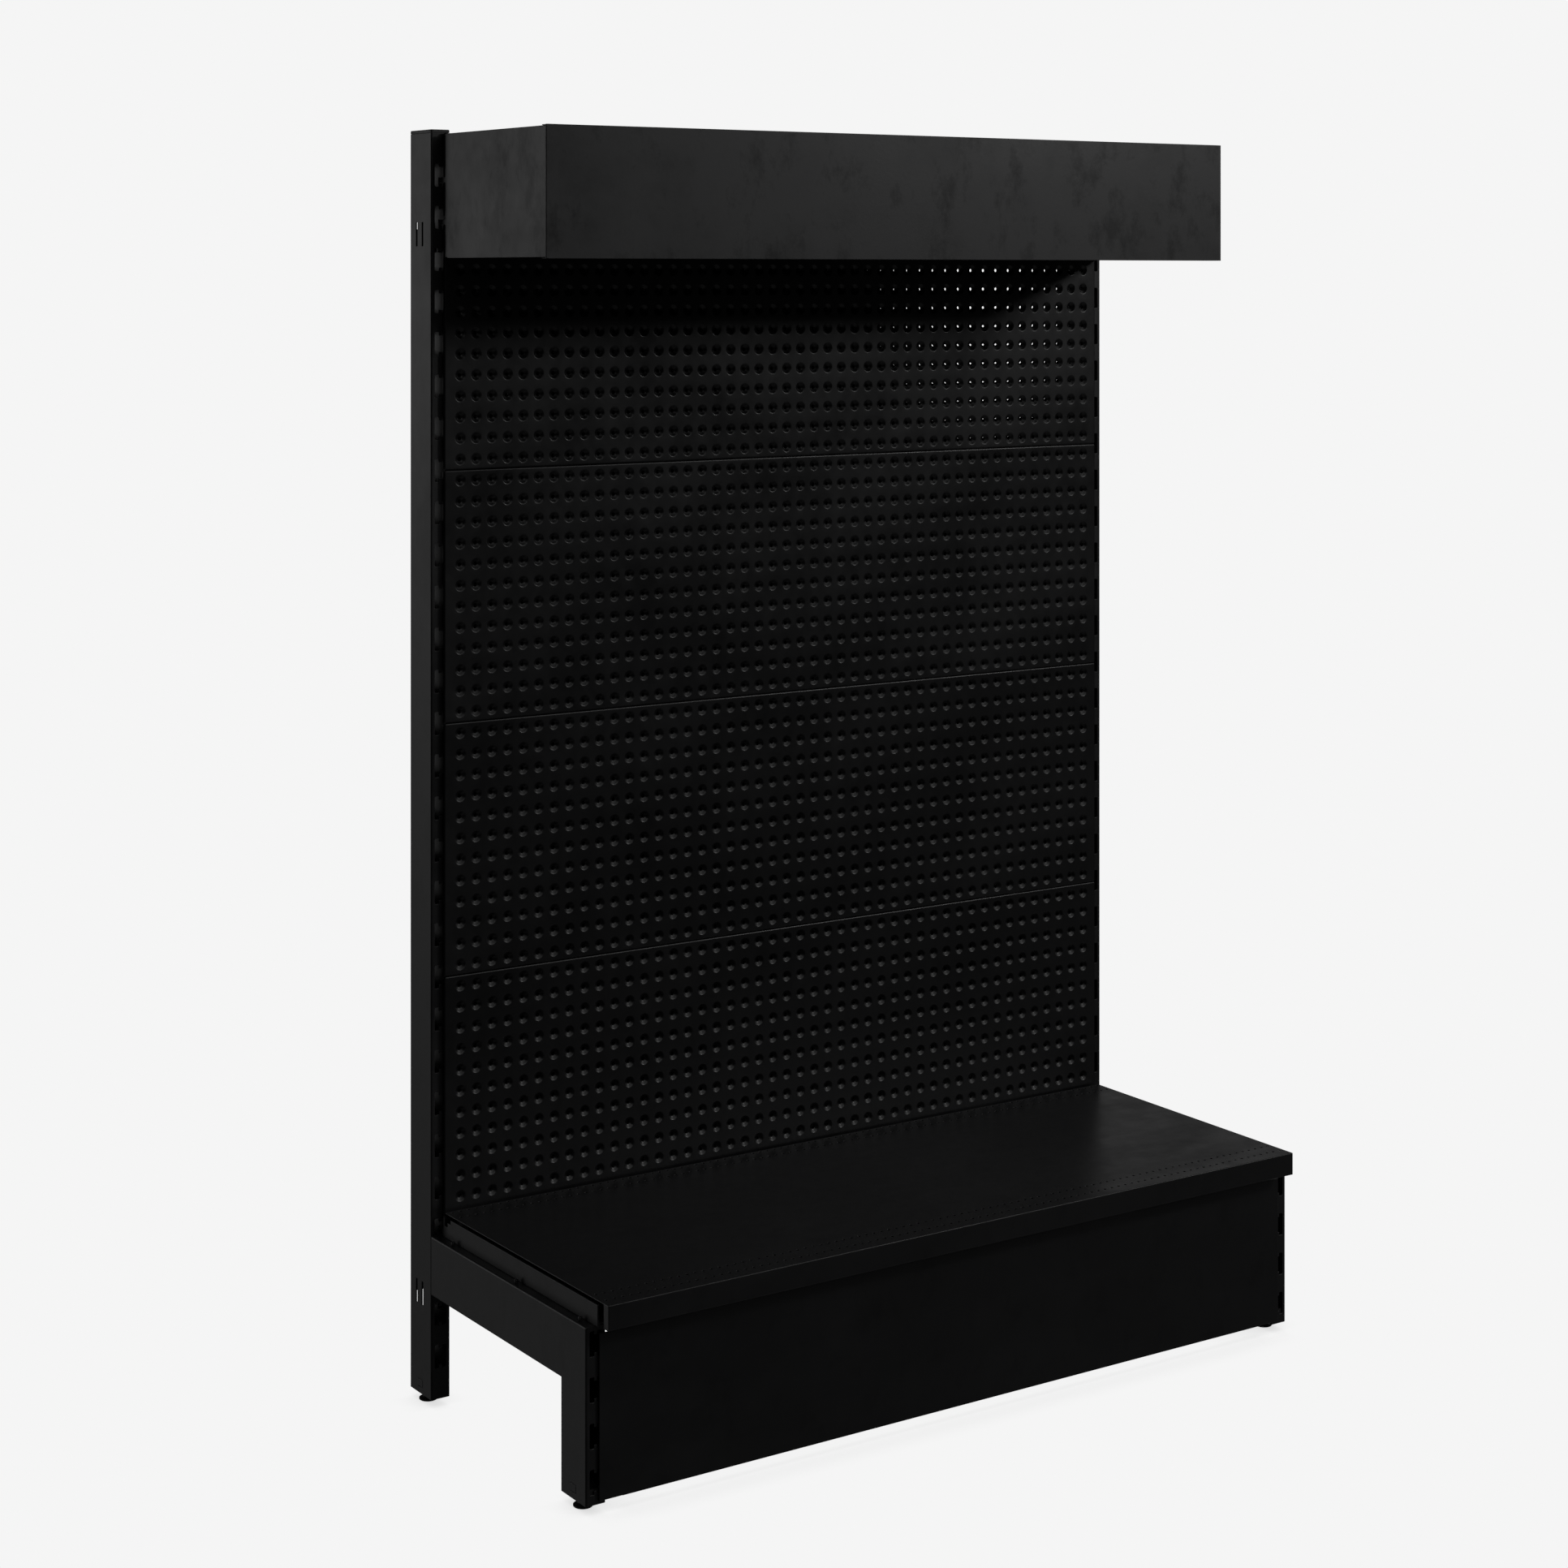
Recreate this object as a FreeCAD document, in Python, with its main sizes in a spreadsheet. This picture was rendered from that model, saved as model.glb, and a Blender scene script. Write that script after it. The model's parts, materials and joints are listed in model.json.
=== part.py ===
import FreeCAD, Part
import Sketcher
import os
import re

# Gondola shelving unit: one bay of a single-sided wall unit with a pierced back, a base
# shelf, a kick plate and a box header.  Millimetres, +Z up, floor at Z = 0.  X = 0 is the
# middle of the bay and Y = 0 the middle of the depth; the front faces -Y.

doc = FreeCAD.newDocument("GondolaUnit")
sheet = doc.addObject("Spreadsheet::Sheet", "Sizes")

SIZES = {
    # bay and uprights
    "bay": 1000,
    "tube_width": 25,
    "tube_wall": 1.5,
    "tube_round": 2,
    "upright_depth": 55,
    "upright_length": 1500,
    "upright_front": 168.5,
    "foot_gap": 10,
    "cap_height": 4,
    "cap_round": 1.2,
    "cap_gap": 0.3,
    "cap_plug": 14,
    # double keyhole slots of the uprights and front legs
    "slot_pitch": 50,
    "slot_tall": 27.5,
    "slot_wide": 15.4,
    "slot_bevel": 1.2,
    "tongue_wide": 3.6,
    "tongue_tall": 4,
    "upright_slots": 29,
    "leg_slots": 4,
    # slots in the side faces that take the tie beams
    "side_slot_tall": 28.5,
    "side_slot_wide": 4,
    "side_slot_front": 22.5,
    "side_slot_spacing": 14.9,
    "tie_low": 130,
    "tie_rise": 1260,
    # U-shaped lance above each tube end
    "lance_tall": 9,
    "lance_deep": 12,
    "lance_rise": 7,
    "lance_line": 0.8,
    # base leg
    "leg_reach": 366,
    "leg_depth": 55,
    "beam_top": 204,
    "beam_tall": 70,
    "beam_plate": 3,
    "joint_gap": 0.4,
    # hooks that drop behind a slotted wall
    "hook_thick": 1.6,
    "leg_hook_thick": 3,
    "tie_hook_thick": 2.6,
    "hook_drop": 8,
    "hook_bar": 2.4,
    "hook_neck": 8,
    "leg_hook_neck": 10,
    "bracket_hook_neck": 7,
    "hook_gap": 0.6,
    "hook_seat": 0.5,
    "hook_inset": 0.4,
    # sheet metal skins
    "skin": 0.8,
    "panel_face": 162,
    "back_face": 224.5,
    "panel_wide": 996,
    "panel_tall": 300,
    "infill_tall": 100,
    "panel_base": 210,
    "seam_gap": 0.6,
    "panel_flange": 12,
    "panel_return": 5.5,
    "return_inset": 28,
    "hole_across": 21.2,
    "hole_up": 25,
    "hole_bore": 4.4,
    "hole_columns": 46,
    # base shelf
    "shelf_top": 233,
    "shelf_skin": 1,
    "shelf_rear": 157,
    "shelf_front": 224.5,
    "lip_tall": 27.5,
    "lip_return": 10,
    "skirt_tall": 25,
    "lip_end": 6,
    "skirt_inset": 12,
    "skirt_gap": 1,
    "pin_hole": 3.6,
    "pin_pitch": 10.6,
    "pin_columns": 94,
    "pin_row_edge": 17.5,
    "pin_row_inner": 39.3,
    "rear_row_edge": 5,
    "rear_row_inner": 26,
    "stiffener_wide": 60,
    "front_stiffener_wide": 36,
    "front_stiffener_y": 196,
    "stiffener_tall": 16,
    "stiffener_gap": 14,
    # shelf bracket
    "bracket_thick": 2,
    "bracket_low": 204.4,
    "bracket_high": 228,
    "bracket_front": 203,
    "bracket_foot": 17,
    "foot_front": 197,
    "bracket_rear_gap": 2,
    "bracket_foot_gap": 12,
    "notch_wide": 15,
    "notch_deep": 10,
    "notch_land": 4,
    "stud_across": 4.6,
    "stud_tall": 4.5,
    "stud_crown": 1,
    "stud_aside": 6,
    "stud_gap": 0.3,
    "stud_inset": 30,
    # kick plate
    "kick_face": 200.5,
    "kick_wide": 994,
    "kick_low": 14,
    "kick_high": 196,
    "kick_skin": 1,
    "kick_flange": 12,
    "kick_flange_inset": 29,
    # header
    "header_wide": 1001.8,
    "header_face": 89.5,
    "header_low": 1360,
    "header_high": 1510,
    "header_skin": 1,
    "header_roll": 8,
    "fold_round": 0.8,
    "header_rear": 161,
    "header_flange": 15,
    "header_neck": 6.5,
    "header_gap": 0.3,
    "header_side_low": 2.5,
    "header_side_high": 2,
    "header_return_low": 1.5,
    "header_return_thick": 1.5,
    "header_short": 4,
    "header_front_gap": 2,
    "header_cover_gap": 0.4,
    # tie beams
    "tie_deep": 25,
    "tie_tall": 40,
    "tie_wall": 1.5,
    "tie_clearance": 0.6,
    "root": 1,
    # levelling feet
    "plug_rise": 12,
    "plug_tall": 15,
    "plug_clearance": 0.3,
    "thread_across": 10,
    "thread_clearance": 0.05,
    "stem_top": 46,
    "tip_across": 6,
    "hex_low": 4.6,
    "hex_tall": 4.2,
    "hex_across": 15,
    "pad_across": 22,
    "pad_tall": 4,
    "pad_boss": 11,
    "rear_foot_y": 200,
}
for row, (alias, number) in enumerate(SIZES.items(), start=1):
    sheet.set("A%d" % row, alias)
    sheet.set("B%d" % row, str(number))
    sheet.setAlias("B%d" % row, alias)
doc.recompute()

SUB_PARTS = []


def size(alias):
    """Number held by one cell of the sheet."""
    return float(sheet.get(alias))


def formula(text):
    """The same expression with each word turned into a reference to the sheet."""
    return re.sub(r"[a-z][a-z_]+", lambda word: "Sizes." + word.group(0), str(text))


def bind(item, target, text):
    item.setExpression(target, formula(text))


def move(item, x_place="0", y_place="0", z_place="0"):
    for axis, text in zip("xyz", (x_place, y_place, z_place)):
        bind(item, "Placement.Base." + axis, text)


def keep(item, label):
    item.Label = label
    SUB_PARTS.append(item)
    return item


def side_name(side):
    return "left" if side < 0 else "right"


# ---- building blocks -------------------------------------------------------------------

def new_body(label, x_place="0", y_place="0", z_place="0"):
    body = doc.addObject("PartDesign::Body", "Body_" + label)
    move(body, x_place, y_place, z_place)
    return keep(body, label)


def block(body, name, corner, extent, cut=False):
    """Box inside a body, from its lowest corner and its extent along X, Y and Z."""
    kind = "PartDesign::SubtractiveBox" if cut else "PartDesign::AdditiveBox"
    item = body.newObject(kind, name)
    item.Refine = False
    for target, text in zip(("Length", "Width", "Height"), extent):
        bind(item, target, text)
    move(item, *corner)
    return item


def mirrored_blocks(body, name, corner, extent, cut=False):
    """The same box on both sides of the body's YZ plane."""
    first = block(body, name + "_a", corner, extent, cut)
    x_other = "-(%s) - (%s)" % (corner[0], extent[0])
    second = block(body, name + "_b", (x_other,) + tuple(corner[1:]), extent, cut)
    return first, second


def outline(body, name, role, corners, offset="0"):
    """Closed polygon sketch on an origin plane; each corner is placed by two dimensions."""
    sketch = body.newObject("Sketcher::SketchObject", name)
    plane = [item for item in body.Origin.OriginFeatures if item.Role == role][0]
    sketch.AttachmentSupport = [(plane, "")]
    sketch.MapMode = "FlatFace"
    bind(sketch, "AttachmentOffset.Base.z", offset)
    points = []
    for corner in corners:
        values = [float(sketch.evalExpression(formula(text))) for text in corner]
        points.append(FreeCAD.Vector(values[0], values[1], 0))
    count = len(points)
    for index in range(count):
        sketch.addGeometry(Part.LineSegment(points[index], points[(index + 1) % count]), False)
    for index in range(count):
        sketch.addConstraint(Sketcher.Constraint("Coincident", index, 2, (index + 1) % count, 1))
    for index, corner in enumerate(corners):
        for kind, text, number in zip(("DistanceX", "DistanceY"), corner, points[index]):
            made = sketch.addConstraint(Sketcher.Constraint(kind, -1, 1, index, 1, number))
            bind(sketch, "Constraints[%d]" % made, text)
    return sketch


def round_edges(body, name, radius, chosen):
    """Fillet on the edges of the body so far whose bounding box passes the test."""
    doc.recompute()
    base = body.Tip
    names = ["Edge%d" % (index + 1) for index, edge in enumerate(base.Shape.Edges)
             if chosen(edge.BoundBox)]
    rounded = body.newObject("PartDesign::Fillet", name)
    rounded.Base = (base, names)
    bind(rounded, "Radius", radius)
    return rounded


def extrude(body, kind, sketch, length, symmetric=False, reverse=False):
    item = body.newObject("PartDesign::" + kind, sketch.Name + "_" + kind)
    item.Profile = sketch
    item.SideType = "Symmetric" if symmetric else "One side"
    item.Reversed = reverse
    bind(item, "Length", length)
    return item


def repeat(body, feature, role, spacing, count):
    """Row of copies along one of the body's origin axes."""
    axis = [item for item in body.Origin.OriginFeatures if item.Role == role][0]
    row = body.newObject("PartDesign::LinearPattern", feature.Name + "_row")
    row.Originals = [feature]
    row.Direction = (axis, [""])
    row.Mode = "Spacing"
    bind(row, "Offset", spacing)
    bind(row, "Occurrences", count)
    body.Tip = row
    return row


def keyhole_outline(body, name, height):
    """Two slot columns joined by a waist: a rectangle with a tongue at each end."""
    half, tongue = "slot_wide / 2", "tongue_wide / 2"
    reach, waist = "slot_tall / 2", "slot_tall / 2 - tongue_tall"
    corners = []
    for turn in (1, -1):
        side = [
            ("-(%s)" % tongue, reach),
            ("-(%s)" % tongue, waist),
            (tongue, waist),
            (tongue, reach),
            (half + " - slot_bevel", reach),
            (half, reach + " - slot_bevel"),
            (half, "-(%s - slot_bevel)" % reach),
            (half + " - slot_bevel", "-(%s)" % reach),
        ]
        for across, up in side:
            sign = "" if turn > 0 else "-"
            corners.append(("%s(%s)" % (sign, across), "(%s) + %s(%s)" % (height, sign, up)))
    return outline(body, name, "XZ_Plane", corners)


# ---- frame -----------------------------------------------------------------------------

def upright(side):
    """Slotted rectangular tube; its own Y = 0 is the front face, Z = 0 the floor."""
    body = new_body(side_name(side) + "_upright", "%d * bay / 2" % side, "upright_front")
    block(body, "tube", ("-tube_width / 2", "0", "foot_gap"),
          ("tube_width", "upright_depth", "upright_length"))
    round_edges(body, "corners_%d" % (side + 1), "tube_round", lambda box: box.ZLength > 100)
    block(body, "bore", ("-tube_width / 2 + tube_wall", "tube_wall", "foot_gap - 1"),
          ("tube_width - 2 * tube_wall", "upright_depth - 2 * tube_wall", "upright_length + 2"), True)
    for level, rise in (("low", "0"), ("high", "tie_rise")):
        for step in (0, 1):
            middle = "side_slot_front + %d * side_slot_spacing" % step
            block(body, "side_slot_%s_%d" % (level, step),
                  ("-tube_width", middle + " - side_slot_wide / 2",
                   "tie_low + %s - side_slot_tall / 2" % rise),
                  ("2 * tube_width", "side_slot_wide", "side_slot_tall"), True)
    lance(body, "upright_depth / 2 - lance_deep / 2")
    keyhole = keyhole_outline(body, "keyhole_%d" % (side + 1), "foot_gap + slot_pitch")
    slot = extrude(body, "Pocket", keyhole, "upright_depth + 1")
    repeat(body, slot, "Z_Axis", "slot_pitch", "upright_slots")
    return body


def lance(body, y_low):
    """Three scored lines of a small tab on both side faces, just above the tube's end."""
    rim = "tube_width / 2 - lance_line"
    low = "foot_gap + lance_rise"
    mirrored_blocks(body, "score_rear", (rim, y_low, low),
                    ("lance_line + 1", "lance_line", "lance_tall"), True)
    mirrored_blocks(body, "score_top", (rim, y_low, low + " + lance_tall"),
                    ("lance_line + 1", "lance_deep", "lance_line"), True)
    mirrored_blocks(body, "score_low", (rim, y_low, low),
                    ("lance_line + 1", "lance_deep", "lance_line"), True)


def base_leg(side):
    """Beam and front leg in one weldment; its own Y = 0 is the front leg's front face."""
    body = new_body(side_name(side) + "_base_leg", "%d * bay / 2" % side, "upright_front - leg_reach")
    reach = "leg_reach - joint_gap"
    knee = "beam_top - beam_tall"
    skin = [("0.001", "foot_gap"), ("leg_depth", "foot_gap"), ("leg_depth", knee),
            (reach, knee), (reach, "beam_top"), ("0.001", "beam_top")]
    extrude(body, "Pad", outline(body, "profile_%d" % (side + 1), "YZ_Plane", skin), "tube_width", True)
    end_y, end_z = size("leg_reach") - 1, size("foot_gap") + 0.1
    round_edges(body, "corners_%d" % (side + 1), "tube_round",
                lambda box: box.XLength < 0.1 and box.YMin < end_y and box.ZMax > end_z)
    rear = reach + " - beam_plate"
    core = [("tube_wall", "foot_gap - 5"), ("leg_depth - tube_wall", "foot_gap - 5"),
            ("leg_depth - tube_wall", knee + " + tube_wall"), (rear, knee + " + tube_wall"),
            (rear, "beam_top - tube_wall"), ("tube_wall", "beam_top - tube_wall")]
    hollow = outline(body, "hollow_%d" % (side + 1), "YZ_Plane", core)
    extrude(body, "Pocket", hollow, "tube_width - 2 * tube_wall", True)
    column = "(slot_wide + tongue_wide) / 4"
    neck = "foot_gap + 3 * slot_pitch - slot_tall / 2 + hook_seat"
    for name, sign in (("outer", "-"), ("inner", "")):
        low_x = "%s(%s) - leg_hook_thick / 2" % (sign, column)
        block(body, "neck_" + name, (low_x, "leg_reach - 2 * root", neck),
              ("leg_hook_thick", "tube_wall + hook_gap + hook_bar + 2 * root", "leg_hook_neck"))
        block(body, "drop_" + name, (low_x, "leg_reach + tube_wall + hook_gap", neck + " - hook_drop"),
              ("leg_hook_thick", "hook_bar", "hook_drop + leg_hook_neck"))
    lance(body, "leg_depth / 2 - lance_deep / 2")
    keyhole = keyhole_outline(body, "leg_keyhole_%d" % (side + 1), "foot_gap + slot_pitch / 2")
    slot = extrude(body, "Pocket", keyhole, "tube_wall + 1")
    repeat(body, slot, "Z_Axis", "slot_pitch", "leg_slots")
    return body


def upright_cap(side):
    """Moulded cap: a rounded top plate and a plug inside the tube."""
    body = new_body(side_name(side) + "_upright_cap", "%d * bay / 2" % side, "upright_front",
                    "foot_gap + upright_length")
    block(body, "plate", ("-tube_width / 2", "0", "cap_gap"),
          ("tube_width", "upright_depth", "cap_height - cap_gap"))
    round_edges(body, "corners_%d" % (side + 1), "tube_round", lambda box: box.ZLength > 3)
    round_edges(body, "rim_%d" % (side + 1), "cap_round", lambda box: box.ZMin > size("cap_height") - 0.1)
    rim = "(tube_wall + plug_clearance)"
    core = "(2 * tube_wall + 1)"
    block(body, "plug", ("-tube_width / 2 + " + rim, rim, "-cap_plug"),
          ("tube_width - 2 * " + rim, "upright_depth - 2 * " + rim, "cap_plug + 1"))
    block(body, "plug_core", ("-tube_width / 2 + " + core, core, "-cap_plug - 1"),
          ("tube_width - 2 * " + core, "upright_depth - 2 * " + core, "cap_plug"), True)
    return body


def tie_beam(label, rise):
    """Rectangular tube between the uprights with two hooks at each end."""
    body = new_body(label, "0", "upright_front + side_slot_front", "tie_low + " + rise)
    half = "(bay / 2 - tube_width / 2 - tie_clearance)"
    mid = "side_slot_spacing / 2 - tie_deep / 2"
    block(body, "tube", ("-" + half, mid, "-tie_tall / 2"), ("2 * " + half, "tie_deep", "tie_tall"))
    block(body, "bore", ("-" + half + " + beam_plate", mid + " + tie_wall", "-tie_tall / 2 + tie_wall"),
          ("2 * %s - 2 * beam_plate" % half, "tie_deep - 2 * tie_wall", "tie_tall - 2 * tie_wall"), True)
    neck = "-side_slot_tall / 2 + hook_seat"
    thick = "tie_hook_thick"
    behind = "tie_clearance + tube_wall + hook_gap"
    for step in (0, 1):
        y_low = "%d * side_slot_spacing - %s / 2" % (step, thick)
        mirrored_blocks(body, "neck_%d" % step, (half + " - root", y_low, neck),
                        (behind + " + hook_bar + root", thick, "hook_neck"))
        mirrored_blocks(body, "drop_%d" % step, (half + " + " + behind, y_low, neck + " - hook_drop"),
                        ("hook_bar", thick, "hook_drop + hook_neck"))
    return body


# ---- levelling feet --------------------------------------------------------------------

def foot_place(side, place):
    """X and Y of a foot's axis: the middle of its tube."""
    y_place = "rear_foot_y" if place == "rear" else "upright_front - leg_reach + leg_depth / 2"
    return "%d * bay / 2" % side, y_place


def foot_insert(side, place):
    """Plug pressed into the tube's end, with the threaded bore of the foot."""
    label = "%s_%s_foot_insert" % (side_name(side), place)
    x_place, y_place = foot_place(side, place)
    body = new_body(label, x_place, y_place, "plug_rise")
    y_middle = "upright_front + upright_depth / 2" if place == "rear" else y_place
    inner_x = "(tube_width - 2 * (tube_wall + plug_clearance))"
    inner_y = "(upright_depth - 2 * (tube_wall + plug_clearance))"
    y_low = "%s - (%s) - %s / 2" % (y_middle, y_place, inner_y)
    block(body, "plug", ("-%s / 2" % inner_x, y_low, "0"), (inner_x, inner_y, "plug_tall"))
    bore = body.newObject("PartDesign::SubtractiveCylinder", "bore_" + label)
    bind(bore, "Radius", "thread_across / 2")
    bind(bore, "Height", "plug_tall + 2")
    move(bore, "0", "0", "-1")
    return body


def revolved(label, x_place, y_place, outline_points):
    """Solid of revolution about its own Z axis from radius and height pairs."""
    body = new_body(label, x_place, y_place)
    points = [("0.001", outline_points[0][1])] + list(outline_points)
    points.append(("0.001", outline_points[-1][1]))
    profile = outline(body, "profile_" + label, "XZ_Plane", points)
    turn = body.newObject("PartDesign::Revolution", "turn_" + label)
    turn.Profile = profile
    turn.ReferenceAxis = (profile, ["V_Axis"])
    turn.Angle = 360
    return body


def foot_stem(side, place):
    """Screw stem with a hexagon for the spanner and a tip that sits in the pad."""
    label = "%s_%s_foot_stem" % (side_name(side), place)
    x_place, y_place = foot_place(side, place)
    body = new_body(label, x_place, y_place)
    for name, radius, low, tall in (
            ("tip", "tip_across / 2", "2", "hex_low - 1.5"),
            ("thread", "thread_across / 2 - thread_clearance", "hex_low + 1", "stem_top - hex_low - 1")):
        rod = body.newObject("PartDesign::AdditiveCylinder", "%s_%s" % (name, label))
        bind(rod, "Radius", radius)
        bind(rod, "Height", tall)
        move(rod, "0", "0", low)
        if name == "tip":
            spanner = body.newObject("PartDesign::AdditivePrism", "hexagon_" + label)
            spanner.Polygon = 6
            bind(spanner, "Circumradius", "hex_across / 2")
            bind(spanner, "Height", "hex_tall")
            move(spanner, "0", "0", "hex_low")
    return body


def foot_pad(side, place):
    """Round pad with a bevelled rim and a socket for the stem's tip."""
    label = "%s_%s_foot_pad" % (side_name(side), place)
    x_place, y_place = foot_place(side, place)
    rim = "pad_across / 2"
    boss = "pad_boss / 2"
    socket = "tip_across / 2 + thread_clearance"
    body = revolved(label, x_place, y_place, [
        (rim + " - 0.6", "0.0001"), (rim, "0.6"), (rim, "pad_tall / 2"),
        (boss + " + 1", "pad_tall - 0.6"), (boss, "pad_tall"),
        (socket, "pad_tall"), (socket, "1.9")])
    return body


# ---- shelf and kick plate --------------------------------------------------------------

def shelf_bracket(side):
    """Upright plate on the beam with a foot flange, a rear hook and a J notch."""
    body = new_body(side_name(side) + "_shelf_bracket", "%d * bay / 2" % side)
    half = "bracket_thick / 2"
    rear = "panel_face - bracket_rear_gap"
    block(body, "plate", ("-" + half, "-bracket_front", "bracket_low"),
          ("bracket_thick", "bracket_front + " + rear, "bracket_high - bracket_low"))
    foot_x = half if side < 0 else "-bracket_foot - " + half
    block(body, "foot", (foot_x, "-foot_front", "bracket_low"),
          ("bracket_foot", "foot_front + %s - bracket_foot_gap" % rear, "bracket_thick"))
    neck = "foot_gap + 4 * slot_pitch - bracket_hook_neck / 2"
    behind = "upright_front + tube_wall + hook_gap"
    block(body, "neck", ("-" + half, rear + " - root", neck),
          ("bracket_thick", "%s + hook_bar - (%s) + root" % (behind, rear), "bracket_hook_neck"))
    block(body, "drop", ("-" + half, behind, neck + " - hook_drop"),
          ("bracket_thick", "hook_bar", "hook_drop + bracket_hook_neck"))
    notch_x = "-" + half + " - 1"
    notch_y = rear + " - notch_land - notch_wide"
    notch_low = "bracket_high - notch_deep"
    block(body, "notch", (notch_x, notch_y, notch_low + " + notch_wide / 3"),
          ("bracket_thick + 2", "notch_wide", "notch_deep"), True)
    block(body, "notch_well", (notch_x, notch_y + " + notch_wide / 2", notch_low),
          ("bracket_thick + 2", "notch_wide / 2", "notch_deep + 1"), True)
    return body


def bracket_studs():
    """Rivets that stand on the beams beside the bracket plates."""
    studs = []
    for side in (-1, 1):
        for station in (0.04, 0.5, 0.93):
            index = len(studs)
            shank = doc.addObject("Part::Cylinder", "stud_%d" % index)
            bind(shank, "Radius", "stud_across / 2")
            bind(shank, "Height", "stud_tall - stud_crown")
            crown = doc.addObject("Part::Cone", "stud_crown_%d" % index)
            bind(crown, "Radius1", "stud_across / 2")
            bind(crown, "Radius2", "stud_across / 4")
            bind(crown, "Height", "stud_crown")
            along = "upright_front - stud_inset - %s * (leg_reach - stud_inset)" % station
            x_place = "%d * (bay / 2 + stud_aside)" % side
            move(shank, x_place, along, "beam_top + stud_gap")
            move(crown, x_place, along, "beam_top + stud_gap + stud_tall - stud_crown")
            stud = doc.addObject("Part::Fuse", "stud_whole_%d" % index)
            stud.Base = shank
            stud.Tool = crown
            studs.append(stud)
    group = doc.addObject("Part::Compound", "studs")
    group.Links = studs
    return keep(group, "bracket_studs")


def circle_wire(centre, normal, radius):
    return Part.Wire([Part.Circle(centre, normal, radius).toShape()])


def pierced_sheet(corners, normal, thick, holes, radius):
    """Flat sheet with round holes: four corners, extruded by thick along its normal.
    The hole wires run the other way round from the outer wire."""
    turn = (corners[1] - corners[0]).cross(corners[2] - corners[1])
    wires = [Part.makePolygon(corners + [corners[0]])]
    for centre in holes:
        wires.append(circle_wire(centre, turn * -1, radius))
    return Part.Face(wires).extrude(normal * thick)


def solid_box(x_span, y_span, z_span):
    """Box between two values along each axis, given in either order."""
    low, high = zip(*(sorted(span) for span in (x_span, y_span, z_span)))
    return Part.makeBox(high[0] - low[0], high[1] - low[1], high[2] - low[2], FreeCAD.Vector(*low))


def shaped(label, shape, rise=0):
    """Sub-part whose shape is worked out here from the sheet's sizes, raised by rise."""
    item = doc.addObject("Part::Feature", "Shape_" + label)
    item.Shape = shape
    item.Placement = FreeCAD.Placement(FreeCAD.Vector(0, 0, rise), FreeCAD.Rotation())
    return keep(item, label)


def shelf_holes():
    """Two rows of small holes along the front edge and two along the rear edge."""
    first = -(size("pin_columns") - 1) / 2 * size("pin_pitch")
    front, rear = -size("shelf_front"), size("shelf_rear")
    deck_low = size("shelf_top") - size("shelf_skin")
    rows = [front + size("pin_row_edge"), front + size("pin_row_inner"),
            rear - size("rear_row_edge"), rear - size("rear_row_inner")]
    spots = []
    for y_row in rows:
        for column in range(int(size("pin_columns"))):
            spots.append(FreeCAD.Vector(first + column * size("pin_pitch"), y_row, deck_low))
    return spots


def base_shelf():
    """Folded shelf: pierced deck, front lip with a return, lip ends and three skirts."""
    half, front, rear = size("bay") / 2, -size("shelf_front"), size("shelf_rear")
    top, skin = size("shelf_top"), size("shelf_skin")
    low_lip, lip_return = top - size("lip_tall"), size("lip_return")
    deck_low = top - skin
    corners = [FreeCAD.Vector(-half, front, deck_low), FreeCAD.Vector(half, front, deck_low),
               FreeCAD.Vector(half, rear, deck_low), FreeCAD.Vector(-half, rear, deck_low)]
    deck = pierced_sheet(corners, FreeCAD.Vector(0, 0, 1), skin, shelf_holes(), size("pin_hole") / 2)
    end = half - size("lip_end")
    folds = [
        solid_box((-half, half), (front, front + skin), (low_lip, top)),
        solid_box((-half, half), (front, front + lip_return), (low_lip, low_lip + skin)),
        solid_box((-end, end), (rear - skin, rear), (low_lip + size("lip_end"), top)),
    ]
    skirt_x = half - size("skirt_inset")
    skirt_front = front + lip_return + size("skirt_gap")
    skirt_rear = rear - skin - size("skirt_gap")
    for side in (-1, 1):
        folds.append(solid_box((side * half, side * (half - skin)),
                               (front, front + lip_return), (low_lip, top)))
        folds.append(solid_box((side * skirt_x, side * (skirt_x - skin)),
                               (skirt_front, skirt_rear), (top - size("skirt_tall"), top)))
    shelf = deck.fuse(folds).removeSplitter()
    return shaped("base_shelf", shelf.makeFillet(size("fold_round"), deck_edges(shelf)))


def deck_edges(shelf):
    """Edges of the lip's face and the two top edges of the deck's sides."""
    near = 0.01
    half, top = size("bay") / 2, size("shelf_top")
    chosen = []
    for edge in shelf.Edges:
        box = edge.BoundBox
        on_side = abs(abs(box.XMin + box.XMax) / 2 - half) < near and box.XLength < near
        if box.YMax < near - size("shelf_front") or (on_side and box.ZMin > top - near):
            chosen.append(edge)
    return chosen


def stiffener(label, y_place, wide):
    """Hat section along the underside of the deck."""
    body = new_body(label, "0", y_place, "shelf_top - shelf_skin - joint_gap")
    half = "(bay / 2 - stiffener_gap)"
    block(body, "hat", ("-" + half, "-%s / 2" % wide, "-stiffener_tall"),
          ("2 * " + half, wide, "stiffener_tall"))
    block(body, "hat_core", ("-%s - 1" % half, "-%s / 2 + shelf_skin" % wide,
                             "-stiffener_tall + shelf_skin"),
          ("2 * %s + 2" % half, wide + " - 2 * shelf_skin", "stiffener_tall"), True)
    return body


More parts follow.
